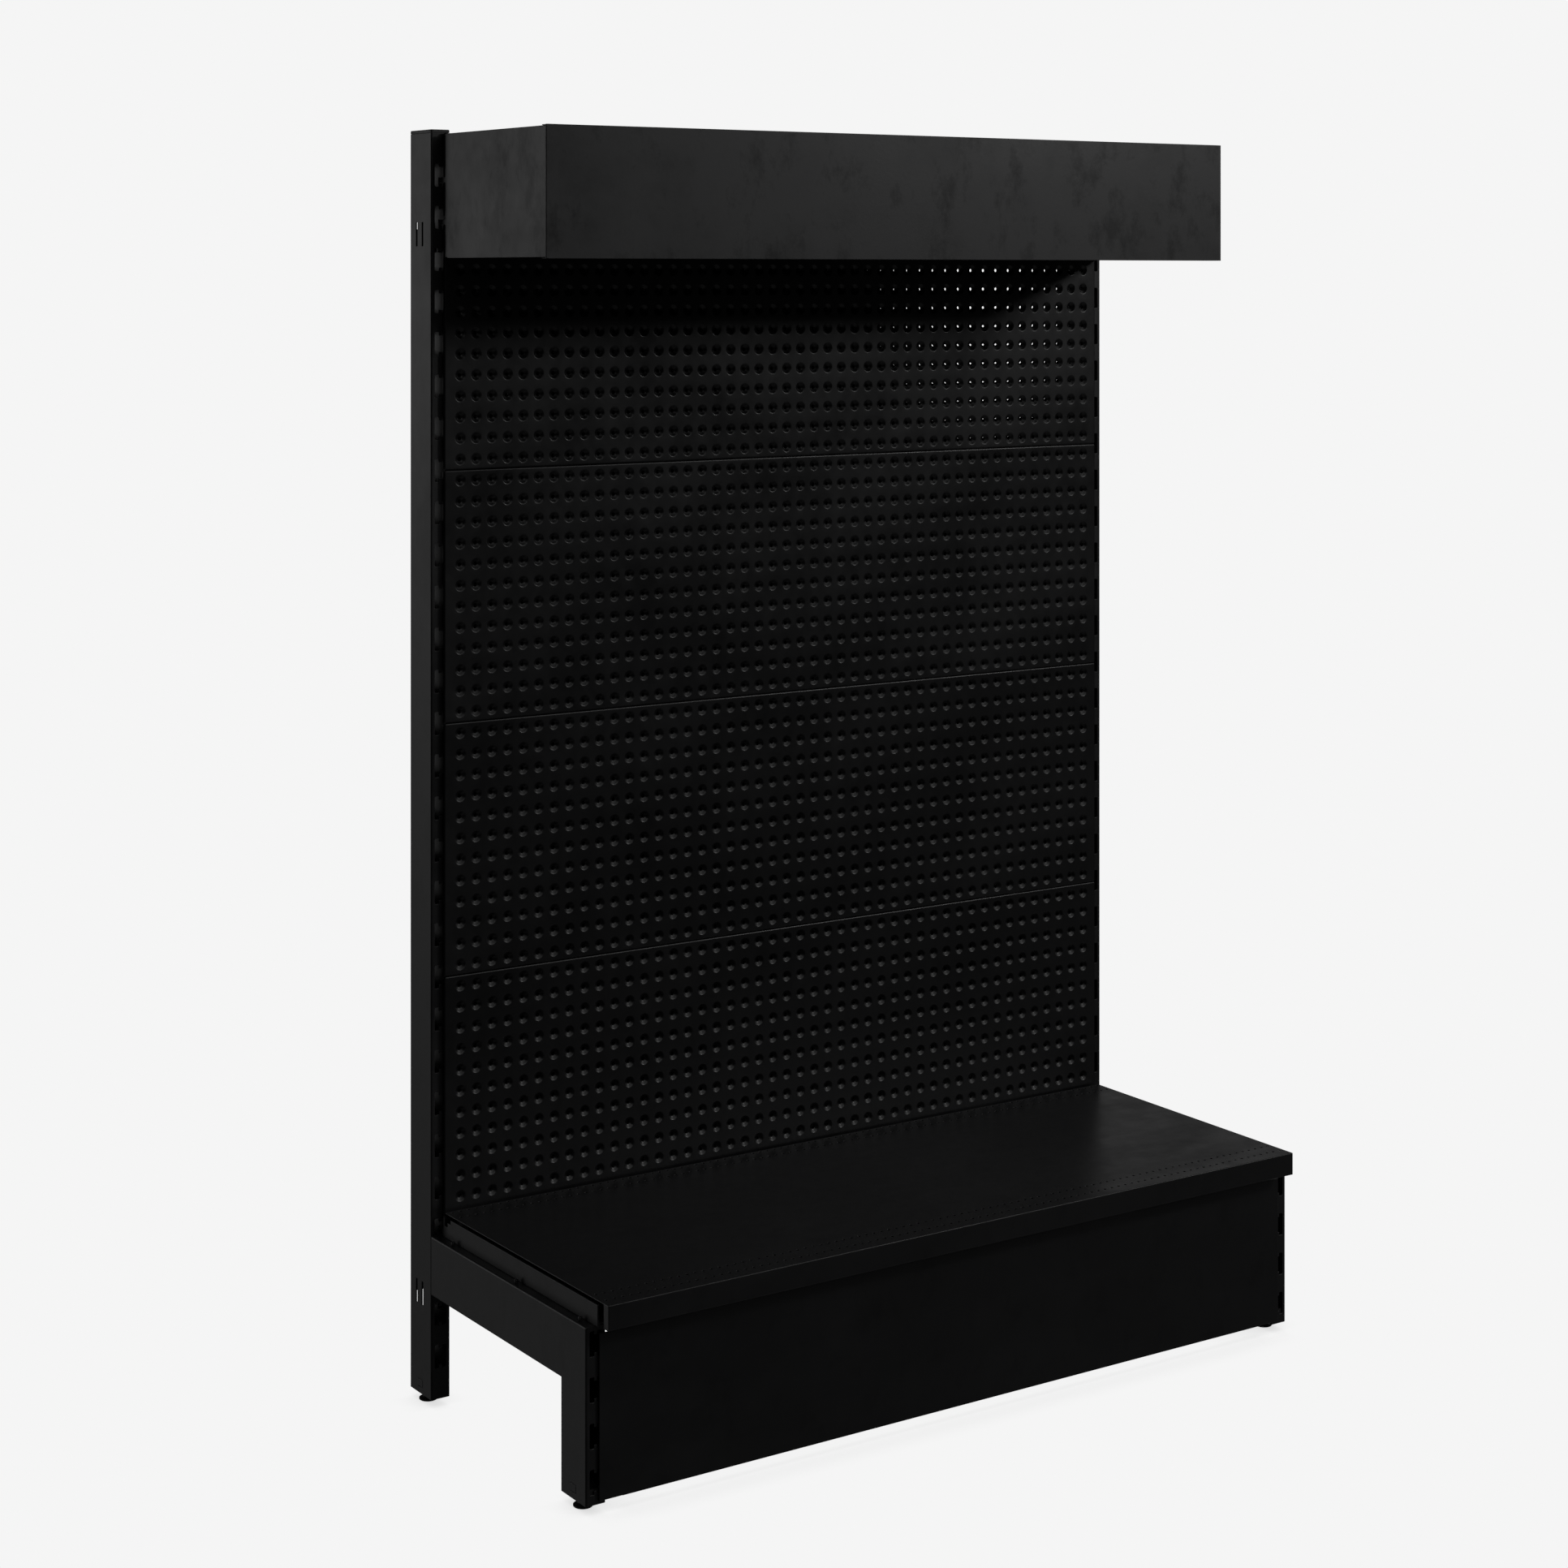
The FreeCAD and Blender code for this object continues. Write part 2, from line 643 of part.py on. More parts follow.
def kick_plate():
    """Folded front plate whose side hooks drop into the front legs."""
    body = new_body("kick_plate", "0", "-kick_face")
    half = "kick_wide / 2"
    tall = "kick_high - kick_low"
    leg_face = "(upright_front - leg_reach + kick_face)"
    block(body, "face", ("-" + half, "0", "kick_low"), ("kick_wide", "kick_skin", tall))
    round_edges(body, "face_edges", "fold_round", lambda box: box.YMax < 0.01)
    for name, level in (("low", "kick_low"), ("high", "kick_high - kick_skin")):
        block(body, "flange_" + name, ("-%s + kick_flange_inset" % half, "0", level),
              ("kick_wide - 2 * kick_flange_inset", "kick_flange", "kick_skin"))
    mirrored_blocks(body, "edge", (half + " - kick_skin", "0", "kick_low"),
                    ("kick_skin", leg_face + " - joint_gap", tall))
    behind = leg_face + " + tube_wall + hook_gap"
    x_low = half + " - kick_skin - hook_thick + hook_inset"
    for level in (1, 3):
        neck = "foot_gap + (%d + 1 / 2) * slot_pitch - slot_tall / 2 + hook_seat" % level
        mirrored_blocks(body, "neck_%d" % level, (x_low, "kick_skin / 2", neck),
                        ("hook_thick", behind + " + hook_bar - kick_skin / 2", "hook_neck"))
        mirrored_blocks(body, "drop_%d" % level, (x_low, behind, neck + " - hook_drop"),
                        ("hook_thick", "hook_bar", "hook_drop + hook_neck"))
    return body


# ---- pierced skins ---------------------------------------------------------------------

def hole_centres(y_plane, low, high):
    """Centres of the pierced grid between two seams."""
    first = -(size("hole_columns") - 1) / 2 * size("hole_across")
    pitch = size("hole_up")
    spots = []
    for row in range(int(round((high - low) / pitch))):
        level = low + row * pitch + pitch / 2
        for column in range(int(size("hole_columns"))):
            spots.append(FreeCAD.Vector(first + column * size("hole_across"), y_plane, level))
    return spots


def wall_hooks(facing, low, high):
    """Hooks at both ends of a skin, through the inner columns of the uprights' slots."""
    outer = size("panel_wide") / 2 - size("hook_inset")
    inner = outer - size("hook_thick")
    face = size("panel_face") if facing < 0 else size("back_face")
    upright_face = size("upright_front") + (0 if facing < 0 else size("upright_depth"))
    near = face - facing * size("hook_inset")
    back = upright_face - facing * (size("tube_wall") + size("hook_gap"))
    far = back - facing * size("hook_bar")
    bottom = size("hook_seat") - size("slot_tall") / 2
    levels = [low + size("slot_pitch")]
    if high - low > 2 * size("slot_pitch"):
        levels.append(high - size("slot_pitch"))
    pieces = []
    for level in levels:
        neck = level + bottom
        crest = neck + size("hook_neck")
        for side in (-1, 1):
            x_span = (side * outer, side * inner)
            pieces.append(solid_box(x_span, (near, far), (neck, crest)))
            pieces.append(solid_box(x_span, (back, far), (neck - size("hook_drop"), crest)))
    return pieces


def skin_panel(facing, low, high):
    """Pierced tray: sheet, flanges between the uprights, side returns and hooks.
    facing is -1 for the front skin and +1 for the rear skin."""
    gap, skin = size("seam_gap") / 2, size("skin")
    half = size("panel_wide") / 2
    face = size("panel_face") if facing < 0 else size("back_face")
    z_low, z_high = low + gap, high - gap
    corners = [FreeCAD.Vector(-half, face, z_low), FreeCAD.Vector(half, face, z_low),
               FreeCAD.Vector(half, face, z_high), FreeCAD.Vector(-half, face, z_high)]
    normal = FreeCAD.Vector(0, -facing, 0)
    spots = hole_centres(face, low, high)
    whole = pierced_sheet(corners, normal, skin, spots, size("hole_bore") / 2)
    folds = wall_hooks(facing, low, high)
    inner = half - size("return_inset") / 2
    for level in (z_low, z_high - skin):
        folds.append(solid_box((-inner, inner), (face, face - facing * size("panel_flange")),
                               (level, level + skin)))
    if facing < 0:
        for side in (-1, 1):
            folds.append(solid_box((side * half, side * (half - skin)),
                                   (face, face + size("panel_return")), (z_low, z_high)))
    return whole.fuse(folds)


def skins():
    """Four equal panels and a short infill on each side of the frame."""
    for name, facing in (("front", -1), ("rear", 1)):
        low = size("panel_base")
        panel = skin_panel(facing, low, low + size("panel_tall"))
        for number in range(4):
            shaped("%s_panel_%d" % (name, number + 1), panel, number * size("panel_tall"))
        low = low + 4 * size("panel_tall")
        shaped(name + "_top_infill", skin_panel(facing, low, low + size("infill_tall")))


# ---- header ----------------------------------------------------------------------------

def quarter_ring(body, name, side, centre_y, low, tall):
    """Rolled edge: a quarter of a thin ring that turns the plate's rear edge inwards."""
    for kind, radius, cut in (("AdditiveCylinder", "header_roll", ""),
                              ("SubtractiveCylinder", "header_roll - header_skin", "_core")):
        ring = body.newObject("PartDesign::" + kind, name + cut)
        bind(ring, "Radius", radius)
        bind(ring, "Height", tall if not cut else tall + " + 2")
        ring.Angle = 90
        ring.Placement.Rotation = FreeCAD.Rotation(FreeCAD.Vector(0, 0, 1), 90 if side < 0 else 0)
        move(ring, "%d * header_roll" % -side, centre_y, low if not cut else low + " - 1")


def header_side(side):
    """Side plate with a rolled rear edge, a bottom return and two hooks for the upright."""
    body = new_body("header_%s_side" % side_name(side), "%d * header_wide / 2" % side)
    x_low = "0" if side < 0 else "-header_skin"
    roll_y = "header_rear - header_roll"
    start = "-header_face + header_skin + header_gap"
    depth = roll_y + " - (%s)" % start
    low = "header_low + header_side_low"
    tall = "header_high - header_side_high - (%s)" % low
    quarter_ring(body, "roll_%d" % (side + 1), side, roll_y, low, tall)
    block(body, "plate", (x_low, start, low), ("header_skin", depth, tall))
    flange_x = "0" if side < 0 else "-header_flange"
    block(body, "return", (flange_x, start, "header_low + header_return_low"),
          ("header_flange", depth + " - header_short", "header_return_thick"))
    behind = "upright_front + tube_wall + hook_gap"
    neck_y = roll_y + " - header_short"
    for level in (28, 29):
        slot_low = "foot_gap + %d * slot_pitch - slot_tall / 2 + tongue_tall + hook_seat" % level
        block(body, "neck_%d" % level, (x_low, neck_y, slot_low),
              ("header_skin", "%s + hook_bar - (%s)" % (behind, neck_y), "header_neck"))
        block(body, "drop_%d" % level, (x_low, behind, slot_low + " - hook_drop"),
              ("header_skin", "hook_bar", "hook_drop + header_neck"))
    return body


def header_front():
    """Front board with top and bottom returns."""
    body = new_body("header_front", "0", "-header_face")
    block(body, "board", ("-header_wide / 2", "0", "header_low"),
          ("header_wide", "header_skin", "header_high - header_low"))
    round_edges(body, "front_edges", "fold_round", lambda box: box.YMax < 0.01)
    reach = "(header_wide / 2 - header_skin - header_front_gap)"
    for name, level in (("low", "header_low"), ("high", "header_high - header_skin")):
        block(body, "return_" + name, ("-" + reach, "0", level),
              ("2 * " + reach, "header_flange", "header_skin"))
    return body


def header_top():
    """Cover plate of the header with a rear fold."""
    body = new_body("header_top", "0", "-header_face", "header_high - header_skin - header_cover_gap")
    reach = "(header_wide / 2 - header_skin - header_gap)"
    narrow = "(header_wide / 2 - header_roll - header_gap)"
    rear = "header_face + header_rear - header_gap"
    roll_start = rear + " - header_roll"
    block(body, "cover", ("-" + reach, "header_skin + header_gap", "-header_skin"),
          ("2 * " + reach, roll_start + " - header_skin - header_gap", "header_skin"))
    block(body, "tail", ("-" + narrow, roll_start + " - root", "-header_skin"),
          ("2 * " + narrow, "header_roll + root", "header_skin"))
    block(body, "fold", ("-" + narrow, rear + " - header_skin", "-header_flange"),
          ("2 * " + narrow, "header_skin", "header_flange"))
    return body


def build():
    for side in (-1, 1):
        upright(side)
        upright_cap(side)
        base_leg(side)
        shelf_bracket(side)
        for place in ("rear", "front"):
            foot_insert(side, place)
            foot_stem(side, place)
            foot_pad(side, place)
        header_side(side)
    bracket_studs()
    tie_beam("lower_tie_beam", "0")
    tie_beam("upper_tie_beam", "tie_rise")
    base_shelf()
    stiffener("shelf_stiffener", "(shelf_rear - shelf_front) / 2", "stiffener_wide")
    stiffener("shelf_front_stiffener", "-front_stiffener_y", "front_stiffener_wide")
    kick_plate()
    skins()
    header_front()
    header_top()


def check():
    """Stop before anything is written if a feature failed or a shape is broken."""
    for item in doc.Objects:
        if "Invalid" in item.State or "Error" in item.State:
            raise RuntimeError("%s failed: %s" % (item.Name, item.State))
    for item in SUB_PARTS:
        if item.Shape.isNull() or not item.Shape.isValid():
            raise RuntimeError("broken shape: " + item.Label)


def write():
    os.makedirs("parts", exist_ok=True)
    for item in SUB_PARTS:
        item.Shape.exportStep("parts/%s.step" % item.Label)


build()
doc.recompute()
check()
write()
for item in SUB_PARTS:
    print("%-28s solids %d  volume %.0f mm3" % (item.Label, len(item.Shape.Solids), item.Shape.Volume))
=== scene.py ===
"""Looks of the gondola shelving unit: pierced and dished skins, powder coat, light, camera."""

import json
import math

import bmesh
import bpy
import numpy as np
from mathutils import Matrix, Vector


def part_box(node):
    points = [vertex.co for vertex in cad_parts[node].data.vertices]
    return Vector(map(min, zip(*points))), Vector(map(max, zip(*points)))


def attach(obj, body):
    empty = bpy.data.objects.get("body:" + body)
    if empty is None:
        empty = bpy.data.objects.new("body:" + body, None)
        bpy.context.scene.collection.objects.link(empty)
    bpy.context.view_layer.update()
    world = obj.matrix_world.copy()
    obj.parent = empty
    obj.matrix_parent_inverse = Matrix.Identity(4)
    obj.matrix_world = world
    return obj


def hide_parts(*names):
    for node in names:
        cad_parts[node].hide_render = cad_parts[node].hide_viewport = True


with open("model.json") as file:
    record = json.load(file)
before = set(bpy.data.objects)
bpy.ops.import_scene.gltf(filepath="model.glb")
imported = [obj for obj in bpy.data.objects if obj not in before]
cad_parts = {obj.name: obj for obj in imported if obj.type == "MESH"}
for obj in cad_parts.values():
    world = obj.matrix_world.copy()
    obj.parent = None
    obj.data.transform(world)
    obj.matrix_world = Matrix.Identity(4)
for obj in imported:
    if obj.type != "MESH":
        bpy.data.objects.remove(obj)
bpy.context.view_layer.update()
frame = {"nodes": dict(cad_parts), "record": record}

MM = 0.001
PALE = 0.9131                   # linear value of the pale backdrop

# ---- the viewer's place -------------------------------------------------------------------

CAMERA_PLACE = (-2.1111, -2.9753, 1.3422)
CAMERA_HEADING = -33.752        # degrees about the vertical, 0 looks along +Y
LENS = 67.964                   # focal length for a frame 36 mm wide
FRAME_SHIFT = -0.325            # share of the frame's width by which it looks lower

# ---- driving dimensions of the dished skins, in millimetres -------------------------------

PITCH_ACROSS = 21.2
PITCH_UP = 25.0
COLUMNS = 46
SKIN = 0.8
BEND = 1.6                      # outer radius of the folded edges
SEAM = 0.3                      # half the gap between two neighbouring trays
RETURN_DEPTH = 5.5              # side return that meets the upright
FLANGE_DEPTH = 11.5             # top and bottom flanges between the uprights
RIM_SEGMENTS = 16               # points around each hole
FIRST_COLUMN = -(COLUMNS - 1) / 2 * PITCH_ACROSS

# radius and depth of the rings from the flat sheet down to the end of the short collar
DISH_FRONT = [(7.4, 0.0), (6.8, 0.12), (6.2, 0.5), (5.2, 1.3), (4.0, 2.2), (3.0, 2.9), (2.2, 3.2),
              (2.2, 4.4)]
DISH_REAR = [(7.0, 0.0), (6.2, 0.5), (4.0, 2.2), (2.2, 3.2), (2.2, 4.4)]


# ---- node helpers --------------------------------------------------------------------------

class Nodes:
    """A short way to write a material's node tree."""

    def __init__(self, tree):
        self.tree = tree

    def add(self, kind, settings=None, **inputs):
        node = self.tree.nodes.new("ShaderNode" + kind)
        for key, value in (settings or {}).items():
            setattr(node, key, value)
        for key, value in inputs.items():
            self.put(node, key.replace("_", " "), value)
        return node

    def put(self, node, key, value):
        socket = node.inputs[int(key) if key.isdigit() else key]
        if isinstance(value, bpy.types.NodeSocket):
            self.tree.links.new(value, socket)
        else:
            socket.default_value = value

    def noise(self, where, scale, detail=3.0, rough=0.55):
        node = self.add("TexNoise", Scale=scale, Detail=detail, Roughness=rough)
        self.tree.links.new(where, node.inputs["Vector"])
        return node.outputs["Fac"]

    def grey(self, value):
        """Colour with the same value in all three channels."""
        node = self.add("CombineColor")
        for key in ("Red", "Green", "Blue"):
            self.tree.links.new(value, node.inputs[key])
        return node.outputs[0]

    def tint(self, value, tone, darker, lighter):
        """Colour that goes from darker to lighter times the tone as the value rises."""
        node = self.add("CombineColor")
        for key, channel in zip(("Red", "Green", "Blue"), tone):
            shade = self.ramp(value, 0.3, 0.7, darker * channel, lighter * channel)
            self.tree.links.new(shade, node.inputs[key])
        return node.outputs[0]

    def ramp(self, value, low, high, to_low=0.0, to_high=1.0):
        node = self.add("MapRange")
        node.clamp = True
        self.tree.links.new(value, node.inputs["Value"])
        for key, number in (("From Min", low), ("From Max", high),
                            ("To Min", to_low), ("To Max", to_high)):
            node.inputs[key].default_value = number
        return node.outputs["Result"]

    def mix_colour(self, factor, a, b):
        node = self.add("Mix", {"data_type": "RGBA"})
        for index, value in ((0, factor), (6, a), (7, b)):
            self.put(node, str(index), value)
        return node.outputs[2]

    def math(self, operation, a, b):
        node = self.add("Math", {"operation": operation})
        for index, value in enumerate((a, b)):
            if isinstance(value, bpy.types.NodeSocket):
                self.tree.links.new(value, node.inputs[index])
            else:
                node.inputs[index].default_value = value
        return node.outputs[0]


WORN_AND_HIGHLIGHT_TONE = (0.085, 0.085, 0.088, 1.0)      # thin coat and painted highlight along folded edges
EDGE_REACH = 1.1 * MM           # how far the thin coat and painted highlight reach from an edge
MARK_SCALE = 38.0               # scales of the coat's textures, in features per metre
SWELL_SCALE = 190.0
PEEL_SCALE = 900.0
SPECK_SCALE = 2600.0
SMEAR_SCALE = (25.0, 25.0, 16.0)
PEEL_HEIGHT = 0.22 * MM
GRAIN_HEIGHT = 0.1 * MM
RING_HEIGHT = 0.2 * MM


def new_material(name):
    material = bpy.data.materials.new(name)
    material.use_nodes = True
    material.node_tree.nodes.clear()
    nodes = Nodes(material.node_tree)
    shader = nodes.add("BsdfPrincipled")
    out = nodes.add("OutputMaterial")
    nodes.tree.links.new(shader.outputs[0], out.inputs["Surface"])
    return material, nodes, shader


def stretched(nodes, scale):
    """Object coordinates with one scale per axis."""
    where = nodes.add("TexCoord").outputs["Object"]
    mapping = nodes.add("Mapping")
    mapping.inputs["Scale"].default_value = scale
    nodes.tree.links.new(where, mapping.inputs["Vector"])
    return mapping.outputs[0]


def powder_coat(name, tone, rough, smudge, streak, smear, wear_and_highlight):
    """Black satin powder coat: orange peel, cloudy handling marks, upright smears that dull the
    sheen, and a lighter colour along the edges, partly a thin coat and partly a painted highlight."""
    material, nodes, shader = new_material(name)
    where = nodes.add("TexCoord").outputs["Object"]
    clouds = nodes.noise(stretched(nodes, streak), 1.0, 5.0, 0.6)
    marks = nodes.noise(where, MARK_SCALE, 4.0, 0.65)
    peel = nodes.noise(where, PEEL_SCALE, 2.0, 0.5)
    swell = nodes.noise(where, SWELL_SCALE, 2.0, 0.5)
    speck = nodes.noise(where, SPECK_SCALE, 1.0, 0.5)

    cloud = nodes.ramp(clouds, 0.38, 0.62, 1.0 - smudge, 1.0 + smudge)
    mark = nodes.ramp(marks, 0.35, 0.7, 1.0 - 0.4 * smudge, 1.0 + 0.4 * smudge)
    fleck = nodes.ramp(speck, 0.3, 0.7, 0.86, 1.14)
    amount = nodes.math("MULTIPLY", nodes.math("MULTIPLY", cloud, mark), fleck)
    wipes = nodes.noise(stretched(nodes, SMEAR_SCALE), 1.0, 6.0, 0.68)
    wiped = nodes.ramp(wipes, 0.52, 0.66, 1.0, 1.0 - smear)
    amount = nodes.math("MULTIPLY", amount, wiped)
    sheen = nodes.math("MULTIPLY", wiped, shader.inputs["Specular IOR Level"].default_value)
    nodes.tree.links.new(sheen, shader.inputs["Specular IOR Level"])

    bevel = nodes.add("Bevel", {"samples": 4}, Radius=EDGE_REACH)
    true_normal = nodes.add("NewGeometry").outputs["Normal"]
    bend = nodes.add("VectorMath", {"operation": "DOT_PRODUCT"})
    nodes.tree.links.new(bevel.outputs[0], bend.inputs[0])
    nodes.tree.links.new(true_normal, bend.inputs[1])
    # lighter colour along the bends: partly a thinner coat, partly a painted highlight of the
    # rounded edges
    edge = nodes.ramp(bend.outputs["Value"], 0.99, 0.86, 0.0, wear_and_highlight)
    broken_edge_highlight_and_wear = nodes.math("MULTIPLY", edge, nodes.ramp(marks, 0.3, 0.65, 0.35, 1.0))

    coat = nodes.add("VectorMath", {"operation": "SCALE"}, Vector=tone)
    nodes.tree.links.new(amount, coat.inputs["Scale"])
    colour = nodes.mix_colour(broken_edge_highlight_and_wear, coat.outputs[0], WORN_AND_HIGHLIGHT_TONE)
    nodes.tree.links.new(colour, shader.inputs["Base Color"])

    gloss = nodes.ramp(clouds, 0.35, 0.65, rough - 0.05, rough + 0.06)
    gloss = nodes.math("ADD", gloss, nodes.ramp(marks, 0.3, 0.7, -0.03, 0.03))
    nodes.tree.links.new(gloss, shader.inputs["Roughness"])

    height = nodes.math("ADD", nodes.math("MULTIPLY", peel, 0.55),
                        nodes.math("MULTIPLY", swell, 0.9))
    bump = nodes.add("Bump", Strength=0.16, Distance=PEEL_HEIGHT)
    nodes.tree.links.new(height, bump.inputs["Height"])
    nodes.tree.links.new(bevel.outputs[0], bump.inputs["Normal"])
    nodes.tree.links.new(bump.outputs[0], shader.inputs["Normal"])
    return material


def moulded_plastic(name, tone, rough):
    """Fine spark-eroded plastic with slightly uneven sheen."""
    material, nodes, shader = new_material(name)
    where = nodes.add("TexCoord").outputs["Object"]
    grain = nodes.noise(where, 2200.0, 2.0, 0.6)
    cloud = nodes.noise(where, 60.0, 3.0, 0.6)
    nodes.tree.links.new(nodes.tint(cloud, tone, 0.8, 1.25), shader.inputs["Base Color"])
    sheen = nodes.ramp(cloud, 0.3, 0.7, rough - 0.06, rough + 0.06)
    nodes.tree.links.new(sheen, shader.inputs["Roughness"])
    bump = nodes.add("Bump", Strength=0.25, Distance=GRAIN_HEIGHT)
    nodes.tree.links.new(grain, bump.inputs["Height"])
    nodes.tree.links.new(bump.outputs[0], shader.inputs["Normal"])
    return material


def zinc_plate(name):
    """Bright zinc with turning marks around the stem and dull patches."""
    material, nodes, shader = new_material(name)
    rings = nodes.noise(stretched(nodes, (60.0, 60.0, 2400.0)), 1.0, 2.0, 0.5)
    spangle = nodes.noise(stretched(nodes, (260.0, 260.0, 260.0)), 1.0, 3.0, 0.6)
    zinc = nodes.tint(spangle, (0.58, 0.57, 0.53), 0.75, 1.15)
    nodes.tree.links.new(zinc, shader.inputs["Base Color"])
    shader.inputs["Metallic"].default_value = 1.0
    nodes.tree.links.new(nodes.ramp(rings, 0.3, 0.7, 0.24, 0.42), shader.inputs["Roughness"])
    bump = nodes.add("Bump", Strength=0.35, Distance=RING_HEIGHT)
    nodes.tree.links.new(rings, bump.inputs["Height"])
    nodes.tree.links.new(bump.outputs[0], shader.inputs["Normal"])
    return material


# slot: material name, base tone, roughness, smudges, scale of the clouds per axis, smears
# The base tones of the one black coat differ by part to match how bright each part looks under
# this light: painted light and shade on top of the coat's own tone, lighter on the header and
# darker on the pierced panels.
COATS = {
    "painted_frame": ("frame_coat", (0.0105, 0.0105, 0.011), 0.40, 0.22, (10.0, 10.0, 3.5), 0.1),
    "painted_panel": ("panel_coat", (0.0060, 0.0060, 0.0064), 0.35, 0.16, (5.0, 5.0, 5.0), 0.1),
    "painted_shelf": ("shelf_coat", (0.0085, 0.0085, 0.009), 0.35, 0.09, (6.0, 14.0, 14.0), 0.1),
    "painted_header": ("header_coat", (0.0150, 0.0150, 0.0155), 0.43, 0.26, (9.0, 9.0, 8.0), 0.32),
    "rivet": ("rivet_coat", (0.03, 0.03, 0.031), 0.30, 0.2, (9.0, 9.0, 5.0), 0.1),
}
# how much lighter the edges get, thin coat and painted highlight; more on the rivets
MATERIALS = {
    slot: powder_coat(*coat, wear_and_highlight=0.8 if slot == "rivet" else 0.5) for slot, coat in COATS.items()
}
MATERIALS["plastic_cap"] = moulded_plastic("cap_plastic", (0.010, 0.010, 0.010), 0.5)
MATERIALS["plastic_pad"] = moulded_plastic("pad_plastic", (0.012, 0.012, 0.012), 0.55)
MATERIALS["zinc_stem"] = zinc_plate("stem_zinc")


# ---- CAD nodes -----------------------------------------------------------------------------

def finish_cad_nodes():
    """Each CAD node takes the material of its slot in the record."""
    slots = {part["node"]: part["material_slot"] for part in frame["record"]["subparts"]}
    for name, node in frame["nodes"].items():
        node.data.materials.clear()
        node.data.materials.append(MATERIALS[slots[name]])


# ---- dished skins --------------------------------------------------------------------------

class Patch:
    """Vertices and faces of one sheet, in millimetres: x across, z up, depth into the unit."""

    def __init__(self):
        self.points = []
        self.faces = []
        self.count = 0

    def add_grid(self, grid, closed=False):
        """Quads between neighbouring rows of points; grid is rows x columns x 3."""
        rows, columns = grid.shape[:2]
        start = self.count
        self.points.append(grid.reshape(-1, 3))
        self.count += rows * columns
        index = start + np.arange(rows * columns).reshape(rows, columns)
        right = np.roll(index, -1, axis=1)
        if not closed:
            index, right = index[:, :-1], right[:, :-1]
        quads = np.stack([index[:-1], right[:-1], right[1:], index[1:]], axis=-1)
        self.faces.append(quads.reshape(-1, 4))

    def merged(self):
        """Points with coincident ones joined, and the faces between them."""
        points = np.concatenate(self.points)
        faces = np.concatenate(self.faces)
        keys = np.round(points / 0.01).astype(np.int64)
        _, first, inverse = np.unique(keys, axis=0, return_index=True, return_inverse=True)
        return points[first], inverse.reshape(-1)[faces]


def cell_border(low, high):
    """Points on a hole's rectangular cell, one for each ring segment, corners included."""
    half_across = PITCH_ACROSS / 2
    eighth = RIM_SEGMENTS // 8
    border = []
    for index in range(RIM_SEGMENTS):
        side, step = divmod(index + eighth, 2 * eighth)
        share = math.tan((step / eighth - 1.0) * math.pi / 4)
        if side % 4 == 0:       # right, then top, left and bottom
            point = (half_across, share * (high if share > 0 else -low))
        elif side % 4 == 1:
            point = (-share * half_across, high)
        elif side % 4 == 2:
            point = (-half_across, -share * (high if share < 0 else -low))
        else:
            point = (share * half_across, low)
        border.append(point)
    return np.array(border)


def row_reach(row, rows):
    """How far a row's cells go below and above their holes; the end rows stop at the bend."""
    edge = BEND + SEAM
    low = -PITCH_UP / 2 + (edge if row == 0 else 0.0)
    high = PITCH_UP / 2 - (edge if row == rows - 1 else 0.0)
    return low, high


def add_holes(patch, rows, rings):
    """Every cell of the pierced grid: its border, the dish's rings and the open rim."""
    angles = np.arange(RIM_SEGMENTS) * 2 * math.pi / RIM_SEGMENTS
    circle = np.stack([np.cos(angles), np.sin(angles)], axis=-1)
    for row in range(rows):
        border = cell_border(*row_reach(row, rows))
        layers = [np.column_stack([border, np.zeros(RIM_SEGMENTS)])]
        for radius, depth in rings:
            layers.append(np.column_stack([radius * circle, np.full(RIM_SEGMENTS, depth)]))
        cell = np.stack(layers)
        for column in range(COLUMNS):
            across = FIRST_COLUMN + column * PITCH_ACROSS
            shift = np.array([across, (row + 0.5) * PITCH_UP, 0.0])
            patch.add_grid(cell + shift, closed=True)


def fold_profile(straight):
    """Offset outwards and depth along a folded edge: quarter bend, then a straight return."""
    steps = 4
    profile = [(0.0, 0.0)]
    for step in range(1, steps + 1):
        turn = step / steps * math.pi / 2
        profile.append((BEND * math.sin(turn), BEND * (1 - math.cos(turn))))
    profile.append((BEND, straight))
    return profile


def add_fold(patch, line, outward, straight):
    """Folded edge along a polyline of x, z points; outward is the unit step off the edge."""
    rows = []
    for offset, depth in fold_profile(straight):
        rows.append([(x + outward[0] * offset, z + outward[1] * offset, depth) for x, z in line])
    patch.add_grid(np.array(rows))


def points_across():
    """Where the cells' borders put points along a tray's top and bottom edges."""
    border = cell_border(-PITCH_UP / 2, PITCH_UP / 2)
    steps = border[np.isclose(border[:, 1], PITCH_UP / 2)][:, 0]
    found = set()
    for column in range(COLUMNS):
        middle = FIRST_COLUMN + column * PITCH_ACROSS
        found.update(round(middle + step, 3) for step in np.round(steps, 4))
    return sorted(found)


def points_up(rows):
    """Where the cells' borders put points along a tray's side edges."""
    found = set()
    for row in range(rows):
        border = cell_border(*row_reach(row, rows))
        steps = border[np.isclose(border[:, 0], PITCH_ACROSS / 2)][:, 1]
        found.update(round(float(step) + (row + 0.5) * PITCH_UP, 3) for step in steps)
    return sorted(found)


